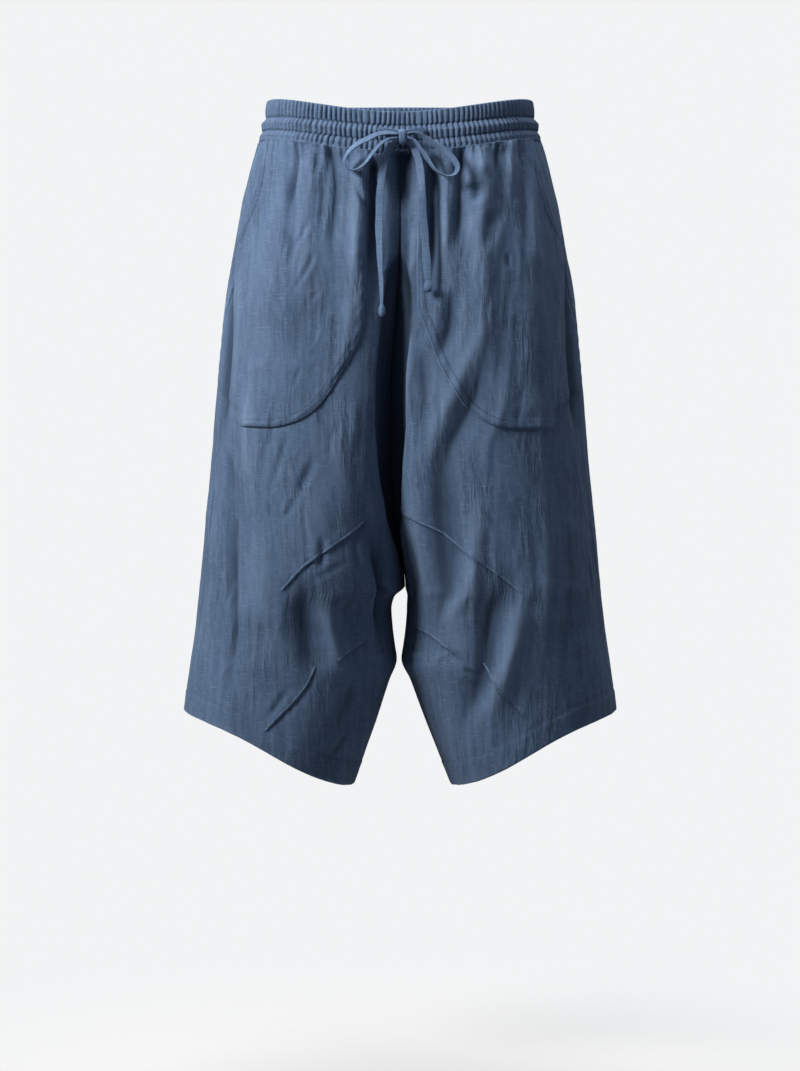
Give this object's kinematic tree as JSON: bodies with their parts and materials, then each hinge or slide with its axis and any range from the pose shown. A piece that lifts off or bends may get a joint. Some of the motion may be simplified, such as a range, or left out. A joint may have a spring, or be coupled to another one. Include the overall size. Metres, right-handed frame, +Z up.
{
  "type": "drawstring linen shorts",
  "caption": "Wide, low-crotch linen shorts in worn form, with a gathered elastic waist, patch pockets and a tied tape drawstring.",
  "frame": {"origin": "middle of the waist opening, at the height of the waistband, where the wearer holds the shorts up", "axes": "+Z up, -Y the front of the shorts, +X the wearer's left"},
  "size_m": [0.4972, 0.3133, 0.782],
  "materials": {
    "linen": "washed plain-weave linen, dusty blue",
    "tape": "flat tape sewn of the same linen"
  },
  "bodies": {
    "root": {"waistband": "linen", "front_right": "linen", "back_right": "linen", "pocket_right": "linen", "front_left": "linen", "back_left": "linen", "pocket_left": "linen", "knot": "tape", "root_right": "tape", "root_left": "tape", "loop_right": "tape", "loop_left": "tape", "tail_right": "tape", "tail_left": "tape"}
  },
  "joints": []
}
